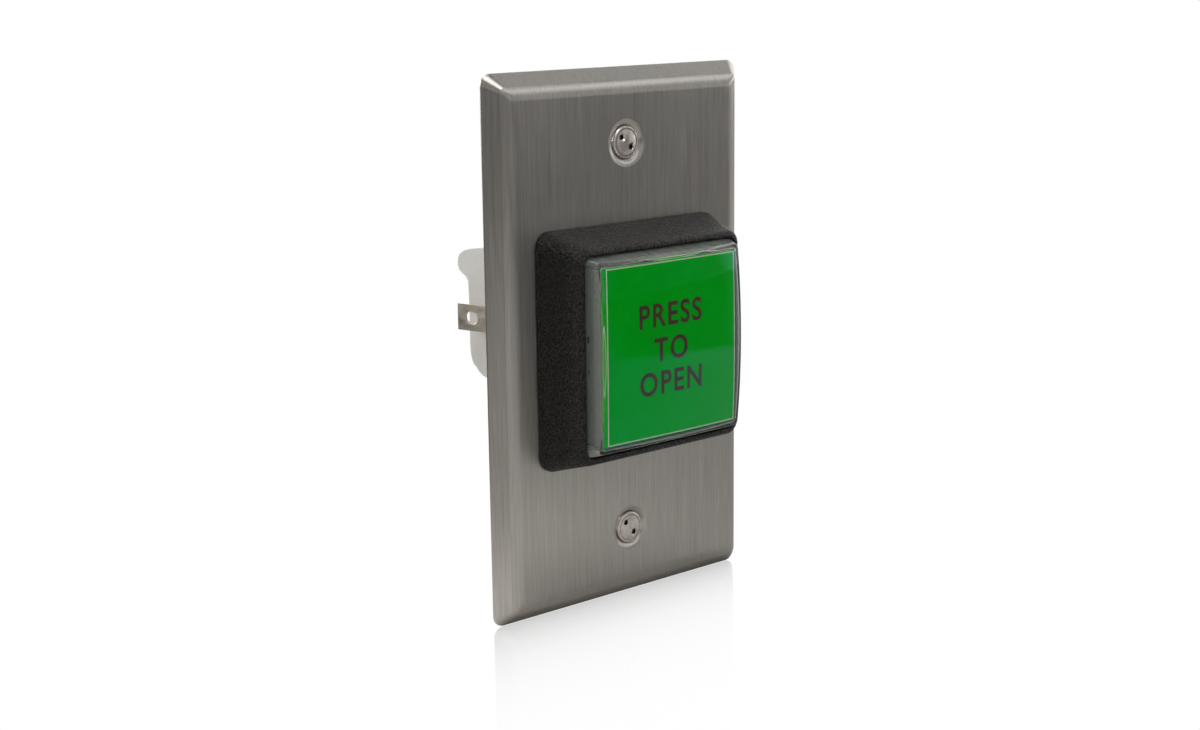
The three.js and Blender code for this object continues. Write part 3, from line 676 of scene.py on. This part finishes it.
def lens_cap():
    n, mm = 8, 14

    def ring_h(h, r, y):
        return flat(outline(h, h, r, n, mm), y)

    N = len(outline(10, 10, 1, n, mm))
    rings = [ring_h(LB - 0.1, LC, -9.4), ring_h(LB, LC, -9.55), ring_h(LB, LC, -12.0), ring_h(LB, LC, -14.2)]
    edge, low, high = [], [], []
    rho = 0.38
    for i in range(N):
        y = -17.0
        for _ in range(30):
            h = side_half(y)
            x, z = outline(h, h, LC, n, mm)[i]
            y = dome(x, z, APEX)
        edge.append((x, y, z))
        h0 = side_half(y + rho)
        x0, z0 = outline(h0, h0, LC, n, mm)[i]
        low.append((x0, y + rho, z0))
        h2 = h - rho
        x2, z2 = outline(h2, h2, max(0.3, LC - rho), n, mm)[i]
        high.append((x2, dome(x2, z2, APEX), z2))
    for k in (1, 2, 3):
        rg = []
        for i in range(N):
            y = -14.2 + (low[i][1] + 14.2) * k / 4
            h = side_half(y)
            x, z = outline(h, h, LC, n, mm)[i]
            rg.append((x, y, z))
        rings.append(rg)
    for t in (0, 0.2, 0.4, 0.6, 0.8, 1.0):
        rings.append([tuple(low[i][q] * (1 - t) ** 2 + 2 * edge[i][q] * t * (1 - t) + high[i][q] * t * t for q in range(3)) for i in range(N)])
    for s in (0.93, 0.86, 0.78, 0.7, 0.6, 0.5, 0.4, 0.3, 0.2, 0.1):
        rings.append([(p[0] * s, dome(p[0] * s, p[2] * s, APEX), p[2] * s) for p in high])
    outer = loft("o", rings, cap1=(0, APEX, 0))
    ov = [tuple(v.co / MM) for v in outer.data.vertices]
    of = [tuple(p.vertices) for p in outer.data.polygons]
    bpy.data.objects.remove(outer)
    IN, IC, IA, IR = 18.95, 0.8, APEX + 1.3, 195.0
    inner = [ring_h(IN + 0.1, IC, -9.4), ring_h(IN, IC, -9.5), ring_h(IN, IC, -12)]
    tops = [(x, dome(x, z, IA, IR), z) for x, z in outline(IN, IN, IC, n, mm)]
    inner.append([(p[0], p[1] + 0.25, p[2]) for p in tops])
    inner.append([(x, dome(x, z, IA, IR) + 0.08, z) for x, z in outline(IN - 0.07, IN - 0.07, IC, n, mm)])
    sm = [(x, dome(x, z, IA, IR), z) for x, z in outline(IN - 0.28, IN - 0.28, IC - 0.2, n, mm)]
    inner.append(sm)
    for s in (0.93, 0.86, 0.78, 0.7, 0.6, 0.5, 0.4, 0.3, 0.2, 0.1):
        inner.append([(p[0] * s, dome(p[0] * s, p[2] * s, IA, IR), p[2] * s) for p in sm])
    base = len(ov)
    iv, jf = [], []
    for r in inner:
        iv += r
    for s in range(len(inner) - 1):
        for i in range(N):
            j = (i + 1) % N
            jf.append((base + s * N + i, base + s * N + j, base + (s + 1) * N + j, base + (s + 1) * N + i))
    c = base + len(iv)
    iv.append((0, IA, 0))
    last = base + (len(inner) - 1) * N
    jf += [(last + i, last + (i + 1) % N, c) for i in range(N)]
    # bottom rim, from the outer first ring to the inner first ring
    first = {}
    for idx, p in enumerate(ov):
        first[(round(p[0], 4), round(p[1], 4), round(p[2], 4))] = idx
    o0 = [first[(round(x, 4), round(y, 4), round(z, 4))] for x, y, z in rings[0]]
    for i in range(N):
        j = (i + 1) % N
        jf.append((o0[i], o0[j], base + j, base + i))
    cap = raw("lens_shell", ov + iv, of + jf)
    # two prising nicks in the left wall at the bezel's rim
    for z0, z1, x1 in ((3.4, 4.8, -20.0), (-3.1, -2.3, -20.05)):
        nick = block("nick", -21.2, x1, -15.3, -14.6, z0, z1)
        bevelled(nick, 0.2, 3, 30)
        boolean(cap, nick, solver="MANIFOLD")
    piece(cap, "button", lens_material(), ("lens_cap",), 50)


lens_cap()


# ------------------------------------------------------------------ legend film with its printed frame, and the lettering
FILM_Y = -16.75       # flat front of the film
FILM_H = 18.5
LINE_X, LINE_HX, LINE_HZ = 0.58, 17.72, 18.12        # pale printed line: its centre in x, and its half sides


def film_material():
    m = Mat("legend_print")
    x, y, z = m.xyz()
    grain = m.noise(3000, 3)
    soft = m.noise(70, 3)
    green = m.mix(m.ramp(soft, 0.3, 0.7, 0, 1), (0.0, 0.520, 0.006), (0.0, 0.560, 0.012))
    green = m.mix(m.ramp(grain, 0.3, 0.7, 0, 0.10), green, (0.0, 0.40, 0.006))
    ex = m.math("SUBTRACT", m.math("ABSOLUTE", m.math("SUBTRACT", x, LINE_X * MM)), LINE_HX * MM)
    ez = m.math("SUBTRACT", m.math("ABSOLUTE", z), LINE_HZ * MM)
    e = m.math("MAXIMUM", ex, ez)
    line = m.math("MULTIPLY", m.ramp(e, -0.16 * MM, -0.08 * MM, 0, 1), m.ramp(e, 0.10 * MM, 0.18 * MM, 1, 0))
    col = m.mix(line, green, (0.86, 0.80, 0.69))
    m.link(col, m.b.inputs["Base Color"])
    m.link(m.ramp(grain, 0.3, 0.7, 0.32, 0.42), m.b.inputs["Roughness"])
    m.link(m.bump(grain, 0.000005, 0.4), m.b.inputs["Normal"])
    m.set(Specular_IOR_Level=0.02)
    return m


def legend_film():
    n, mm = 6, 14
    rings = []
    for s in (0.15, 0.4, 0.7, 0.9):
        rings.append([(x * s, FILM_Y + 0.3, z * s) for x, z in outline(FILM_H - 0.05, FILM_H - 0.05, 0.45, n, mm)])
    for h, y in ((FILM_H - 0.04, 0.3), (FILM_H, 0.25), (FILM_H, 0.05), (FILM_H - 0.04, 0.0)):
        rings.append(flat(outline(h, h, 0.5, n, mm), FILM_Y + y))
    for s in (0.97, 0.9, 0.75, 0.5, 0.25):
        rings.append([(x * s, FILM_Y, z * s) for x, z in outline(FILM_H - 0.04, FILM_H - 0.04, 0.5, n, mm)])
    f = loft("legend_sheet", rings, cap0=(0, FILM_Y + 0.3, 0), cap1=(0, FILM_Y, 0))
    piece(f, "button", film_material(), ("legend_film",), 40)


legend_film()


def ink_material():
    m = Mat("legend_ink")
    g = m.noise(2500, 4)
    m.link(m.mix(m.ramp(g, 0.3, 0.7, 0, 1), (0.068, 0.029, 0.019), (0.098, 0.042, 0.028)), m.b.inputs["Base Color"])
    m.link(m.ramp(g, 0.3, 0.7, 0.35, 0.5), m.b.inputs["Roughness"])
    m.link(m.bump(g, 0.000004, 0.4), m.b.inputs["Normal"])
    return m


def lettering():
    cap_h = 4.87
    lines = (("PRESS", 7.25), ("TO", 0.05), ("OPEN", -6.86))

    def glyphs(word):
        cu = bpy.data.curves.new("t", "FONT")
        cu.body = word
        cu.size = 1.0
        cu.offset = 0.022
        cu.space_character = 1.16
        cu.resolution_u = 6
        ob = bpy.data.objects.new("t", cu)
        scene.collection.objects.link(ob)
        bpy.context.view_layer.update()
        dg = bpy.context.evaluated_depsgraph_get()
        me = bpy.data.meshes.new_from_object(ob.evaluated_get(dg))
        vs = [tuple(v.co) for v in me.vertices]
        fs = [tuple(p.vertices) for p in me.polygons]
        bpy.data.objects.remove(ob)
        bpy.data.meshes.remove(me)
        return vs, fs

    ev = glyphs("E")[0]                       # a flat letter gives the capital height
    lo, hi = min(v[1] for v in ev), max(v[1] for v in ev)
    k = cap_h / (hi - lo)
    verts, faces = [], []
    for word, zc in lines:
        vs, fs = glyphs(word)
        cx = (min(v[0] for v in vs) + max(v[0] for v in vs)) / 2
        base = len(verts)
        verts += [((v[0] - cx) * k * 0.92, FILM_Y - 0.03, (v[1] - (lo + hi) / 2) * k + zc) for v in vs]
        faces += [tuple(base + i for i in f) for f in fs]
    me = bpy.data.meshes.new("legend_letters")
    me.from_pydata([(x * MM, y * MM, z * MM) for x, y, z in verts], [], faces)
    me.validate()
    obj = bpy.data.objects.new("legend_letters", me)
    scene.collection.objects.link(obj)
    piece(obj, "button", ink_material(), (), 60)


lettering()

# ------------------------------------------------------------------ diffuser, carrier
DIFF = plastic("diffuser_milky", (0.62, 0.65, 0.60), 0.45, 0.05, 0.00002, 1500, sub=0.15)
CARR = plastic("carrier_grey", (0.30, 0.325, 0.30), 0.42, 0.10, 0.00003, 1600)
refined("diffuser_panel", "diffuser_block", "button", DIFF, 0.12, 2, 40, 0.2, 40)
refined("button_carrier", "carrier_tray", "button", CARR, 0.15, 2, 30, 0.6, 35)


# ------------------------------------------------------------------ return spring
def spring():
    SP = metal("spring_wire", (0.55, 0.55, 0.56), 0.22, 0.06, (3000, 3000, 3000), 0.000004, (0.30, 0.27, 0.24), 0.25)
    y0, y1, turns, R, w, sides, per = -10.2, 0.4, 5.5, 8.7, 0.4, 12, 36
    rings = []
    total = int(turns * per)
    for i in range(total + 1):
        t = i / total
        a = 2 * math.pi * turns * t
        c = Vector((R * math.cos(a), y0 + (y1 - y0) * t, R * math.sin(a)))
        tan = Vector((-R * math.sin(a) * 2 * math.pi * turns, y1 - y0, R * math.cos(a) * 2 * math.pi * turns)).normalized()
        rad = Vector((math.cos(a), 0, math.sin(a)))
        bi = tan.cross(rad).normalized()
        rings.append([tuple(c + w * (math.cos(q) * rad + math.sin(q) * bi)) for q in (2 * math.pi * k / sides for k in range(sides))])
    s = loft("return_coil", rings, cap0="fan", cap1="fan")
    piece(s, "station", SP, ("return_spring",), 40)
    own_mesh(s)


spring()

# ------------------------------------------------------------------ white holder
WHITE = plastic("holder_white", (0.66, 0.66, 0.63), 0.42, 0.05, 0.00003, 1400, sub=0.25, tint=(0.70, 0.70, 0.68))
refined("lamp_switch_holder", "holder_shell", "station", WHITE, 0.35, 4, 25, 0.4, 35)

# ------------------------------------------------------------------ lamp
LAMPB = plastic("lamp_base", (0.62, 0.60, 0.54), 0.4, 0.06, 0.00003, 1500)
refined("lamp_base", "lamp_wedge", "station", LAMPB, 0.35, 3, 30, 0.5)


def lamp_dome():
    m = Mat("lamp_milky")
    g = m.noise(500, 3)
    m.link(m.mix(m.ramp(g, 0.3, 0.7, 0, 1), (0.85, 0.83, 0.74), (0.78, 0.77, 0.70)), m.b.inputs["Base Color"])
    m.link(m.ramp(g, 0.3, 0.7, 0.12, 0.22), m.b.inputs["Roughness"])
    m.link(m.bump(g, 0.00001, 0.4), m.b.inputs["Normal"])
    m.set(Transmission_Weight=0.45, IOR=1.5)
    prof = [(0, 5.4), (0.9, 5.47), (1.7, 5.7), (2.45, 6.1), (3.1, 6.65), (3.6, 7.25), (4.0, 8.0), (4.22, 8.7), (4.3, 9.4), (4.3, 13.1), (4.4, 13.3),
            (4.8, 13.35), (4.9, 13.5), (4.9, 14.6), (4.8, 14.8), (0, 14.8)]
    piece(lathe("lamp_bulb", prof, 64), "station", m, ("lamp_dome",), 40)


lamp_dome()
TINNED = metal("terminal_tinned", (0.70, 0.655, 0.56), 0.34, 0.04, (900, 120, 900), 0.000003, (0.56, 0.50, 0.40), 0.3)
for s, side in (("left", -1), ("right", 1)):
    refined("lamp_terminal_" + s, "lamp_tab_" + s, "station", TINNED, 0.16, 3, 30, 0.6)

# ------------------------------------------------------------------ switch
SWB = plastic("switch_black", (0.020, 0.020, 0.022), 0.38, 0.12, 0.00004, 1900)
SWC = plastic("switch_cover_red", (0.20, 0.012, 0.010), 0.35, 0.12, 0.00004, 1900)
PINM = plastic("pin_red", (0.38, 0.03, 0.02), 0.35, 0.1, 0.00002, 2500)
LEV = metal("lever_steel", (0.60, 0.60, 0.59), 0.28, 0.06, (260, 2600, 2600), 0.000005, (0.42, 0.40, 0.37), 0.3)
BRS = metal("contact_brass", (0.70, 0.47, 0.20), 0.25, 0.08, (260, 2600, 2600), 0.000005, (0.42, 0.24, 0.10), 0.4)
BRT = metal("terminal_brass", (0.74, 0.55, 0.26), 0.27, 0.08, (2400, 260, 2400), 0.000006, (0.46, 0.30, 0.13), 0.45)
SCR = metal("switch_screw", (0.66, 0.65, 0.63), 0.25, 0.07, (1800, 1800, 1800), 0.000006, (0.42, 0.39, 0.34), 0.35)
refined("switch_case", "switch_body", "station", SWB, 0.15, 2, 30, 0.6)
refined("switch_cover", "switch_lid", "station", SWC, 0.15, 3, 30, 0.6)
refined("switch_pin", "switch_plunger", "pin", PINM, 0.12, 3, 20, 0.6)
refined("switch_lever", "switch_arm", "lever", LEV, 0.05, 2, 30, 0.6)
refined("lever_pivot_pin", "pivot_rod", "station", LEV, 0.08, 2, 40, 0.6)
refined("contact_blade", "contact_arm", "blade", BRS, 0.04, 2, 30, 0.6)
for k in ("common", "normally_open", "normally_closed"):
    refined(k + "_terminal", k + "_tab", "station", BRT, 0.06, 2, 30, 0.6)
for s in ("left", "right"):
    refined("switch_screw_" + s, "cover_screw_" + s, "station", SCR, 0.12, 2, 30, 0.6)


# ------------------------------------------------------------------ floor
def floor():
    m = Mat("studio_floor")
    m.n.remove(m.b)
    x, y, z = m.xyz()
    r = m.math("SQRT", m.math("ADD", m.math("MULTIPLY", x, x), m.math("MULTIPLY", y, y)))
    mottle = m.noise(25, 3)
    dif = m.n.new("ShaderNodeBsdfDiffuse")

    def towards(ax, ay):
        return m.math("DIVIDE", m.math("ADD", m.math("MULTIPLY", x, ax), m.math("MULTIPLY", y, ay)), m.math("MAXIMUM", r, 0.001))

    ahead_right, left, behind_left = towards(0.65, -0.76), towards(-0.80, -0.60), towards(-0.95, 0.31)
    # painted light and shade in the floor's colour, which only bounce light and reflections see: a light pool near the
    # foot and ahead to the right, lighter towards the left, a dark patch behind on the left, a darker strip in front
    # and a bright band far ahead on the right
    floor_tone_and_painted_light = m.mix(mottle, (0.38, 0.372, 0.36), (0.42, 0.412, 0.40))
    pale = m.mix(m.ramp(x, -0.03, 0.08, 0, 1), (0.72, 0.706, 0.688), (0.40, 0.392, 0.382))
    floor_tone_and_painted_light = m.mix(m.ramp(ahead_right, 0.20, 0.80, 0, 1), floor_tone_and_painted_light, pale)
    floor_tone_and_painted_light = m.mix(m.math("MULTIPLY", m.ramp(behind_left, 0.70, 0.92, 0, 1), m.ramp(r, 0.13, 0.18, 0, 1)), floor_tone_and_painted_light, (0.10, 0.098, 0.095))
    floor_tone_and_painted_light = m.mix(m.ramp(r, 0.05, 0.12, 1, 0), floor_tone_and_painted_light, m.mix(m.ramp(x, 0.0, 0.08, 0, 1), (0.66, 0.648, 0.632), (0.38, 0.372, 0.363)))
    floor_tone_and_painted_light = m.mix(m.math("MULTIPLY", m.ramp(towards(0.25, -0.968), 0.90, 0.97, 0, 1), m.ramp(r, 0.07, 0.14, 0, 1)), floor_tone_and_painted_light, (0.34, 0.334, 0.325))
    floor_tone_and_painted_light = m.mix(m.math("MULTIPLY", m.ramp(towards(0.93, -0.37), 0.80, 0.91, 0, 1), m.ramp(r, 0.20, 0.40, 0, 1)), floor_tone_and_painted_light, (0.95, 0.935, 0.915))
    # painted shade far off: the floor turns dark beyond the lit patch, ahead to the right and to the sides
    ahead = m.math("MULTIPLY", m.ramp(r, 0.265, 0.295, 0, 1), m.ramp(ahead_right, 0.935, 0.970, 0, 1))
    aside = m.math("MAXIMUM", m.ramp(left, 0.70, 0.88, 0, 1), m.ramp(towards(-0.25, -0.968), 0.88, 0.96, 0, 1))
    painted_far_shade = m.math("MAXIMUM", ahead, m.math("MULTIPLY", m.ramp(r, 0.35, 1.10, 0, 1), aside))
    m.link(m.mix(painted_far_shade, floor_tone_and_painted_light, (0.06, 0.06, 0.06)), dif.inputs["Color"])
    em = m.n.new("ShaderNodeEmission")
    em.inputs["Color"].default_value = (1, 1, 1, 1)
    em.inputs["Strength"].default_value = 1.0
    gl = m.n.new("ShaderNodeBsdfGlossy")
    gl.inputs["Roughness"].default_value = 0.05
    # polished just in front of the plate's foot: the gloss dies away over a few centimetres
    ahead = m.math("MAXIMUM", m.math("SUBTRACT", -0.0003, y), 0.0)
    fall = m.math("MULTIPLY", m.math("EXPONENT", m.math("MULTIPLY", ahead, -1 / 0.0135)), 0.42)
    along = m.math("ABSOLUTE", m.math("ADD", x, m.math("MULTIPLY", ahead, 0.857)))
    fall = m.math("MULTIPLY", fall, m.ramp(along, 0.0342, 0.0356, 1, 0))
    fall = m.math("MULTIPLY", fall, m.ramp(y, -0.0006, -0.0001, 1, 0))
    cam_sh = m.n.new("ShaderNodeMixShader")
    m.link(fall, cam_sh.inputs[0])
    m.link(em.outputs[0], cam_sh.inputs[1])
    m.link(gl.outputs[0], cam_sh.inputs[2])
    lp = m.n.new("ShaderNodeLightPath")
    mx = m.n.new("ShaderNodeMixShader")
    m.link(lp.outputs["Is Camera Ray"], mx.inputs[0])
    m.link(dif.outputs[0], mx.inputs[1])
    m.link(cam_sh.outputs[0], mx.inputs[2])
    m.link(mx.outputs[0], m.out.inputs[0])
    me = bpy.data.meshes.new("floor")
    s, z0 = 3.0, cad_box[0][2] - 0.00005
    k = 12
    vs = [(-s + 2 * s * i / k, -s + 2 * s * j / k, z0) for i in range(k + 1) for j in range(k + 1)]
    fs = [(i * (k + 1) + j, (i + 1) * (k + 1) + j, (i + 1) * (k + 1) + j + 1, i * (k + 1) + j + 1) for i in range(k) for j in range(k)]
    me.from_pydata(vs, [], fs)
    me.materials.append(m.m)
    o = bpy.data.objects.new("floor", me)
    scene.collection.objects.link(o)


floor()


# ------------------------------------------------------------------ light
def world():
    w = bpy.data.worlds.new("studio")
    scene.world = w
    w.use_nodes = True
    t = w.node_tree
    t.nodes.clear()
    out = t.nodes.new("ShaderNodeOutputWorld")
    bg = t.nodes.new("ShaderNodeBackground")
    cam_bg = t.nodes.new("ShaderNodeBackground")
    cam_bg.inputs[0].default_value = (1, 1, 1, 1)
    co = t.nodes.new("ShaderNodeTexCoord").outputs["Generated"]

    def dot(v):
        n = t.nodes.new("ShaderNodeVectorMath")
        n.operation = "DOT_PRODUCT"
        t.links.new(co, n.inputs[0])
        n.inputs[1].default_value = v
        return n.outputs["Value"]

    def ramp(f, lo, hi, a, b):
        n = t.nodes.new("ShaderNodeMapRange")
        n.interpolation_type = "SMOOTHSTEP"
        for k, v in (("From Min", lo), ("From Max", hi), ("To Min", a), ("To Max", b)):
            n.inputs[k].default_value = v
        t.links.new(f, n.inputs["Value"])
        return n.outputs["Result"]

    def add(a, b):
        n = t.nodes.new("ShaderNodeMath")
        n.operation = "ADD"
        t.links.new(a, n.inputs[0])
        t.links.new(b, n.inputs[1])
        return n.outputs[0]

    def mul(a, b):
        n = t.nodes.new("ShaderNodeMath")
        n.operation = "MULTIPLY"
        t.links.new(a, n.inputs[0])
        t.links.new(b, n.inputs[1])
        return n.outputs[0]

    sep = t.nodes.new("ShaderNodeSeparateXYZ")
    t.links.new(co, sep.inputs[0])
    height = sep.outputs["Z"]
    back = ramp(dot((0.650, 0.760, 0.0)), 0.35, 0.85, 0.0, 1.35)
    front = ramp(dot((0.650, -0.760, 0.0)), 0.10, 0.65, 0.0, 1.0)
    fill = ramp(height, -0.1, 0.70, 0.38, 0.13)

    def front_left():
        return ramp(dot((0.300, -0.950, 0.0)), 0.90, 0.985, 0.0, 0.45)

    # a white wall ahead and to the right, weaker to the left of the dark card
    panel = ramp(dot((0.930, -0.370, 0.0)), 0.80, 0.91, 0.0, 1.20)
    wall = mul(add(front_left(), panel), ramp(height, 0.02, 0.24, 1.0, 0.0))
    # a broad glow ahead of the plate, brightest some 30 degrees up and cut off above
    glow = mul(mul(ramp(height, 0.24, 0.52, 0.0, 1.15), ramp(height, 0.51, 0.58, 1.0, 0.0)), front)
    dark = ramp(dot((0.645, -0.760, -0.08)), 0.935, 0.968, 1.0, 0.10)      # dark card
    # an unlit corner, high on the left
    corner = ramp(dot((-0.310, -0.557, 0.771)), 0.86, 0.97, 1.0, 0.25)
    total = add(back, mul(add(add(mul(fill, corner), wall), glow), dark))
    t.links.new(total, bg.inputs["Strength"])
    bg.inputs[0].default_value = (1.0, 0.985, 0.96, 1)
    lp = t.nodes.new("ShaderNodeLightPath")
    mx = t.nodes.new("ShaderNodeMixShader")
    t.links.new(lp.outputs["Is Camera Ray"], mx.inputs[0])
    t.links.new(bg.outputs[0], mx.inputs[1])
    t.links.new(cam_bg.outputs[0], mx.inputs[2])
    t.links.new(mx.outputs[0], out.inputs[0])


world()


def softbox(name, loc, target, size, power, color=(1, 0.985, 0.96)):
    l = bpy.data.lights.new(name, "AREA")
    l.shape = "RECTANGLE"
    l.size, l.size_y = size
    l.energy = power
    l.color = color
    o = bpy.data.objects.new(name, l)
    scene.collection.objects.link(o)
    o.location = loc
    v = Vector(target) - Vector(loc)
    o.rotation_euler = v.to_track_quat("-Z", "Y").to_euler()
    o.visible_camera = False
    return o


softbox("key", (-0.12, 0.26, 0.85), (0, 0, 0), (0.6, 0.6), 2.8)
softbox("front", (-0.20, -0.44, 0.78), (0, 0, 0), (0.42, 0.42), 1.9)
softbox("side", (-0.50, 0.70, 0.25), (0, 0.02, 0), (0.5, 0.5), 4.4)
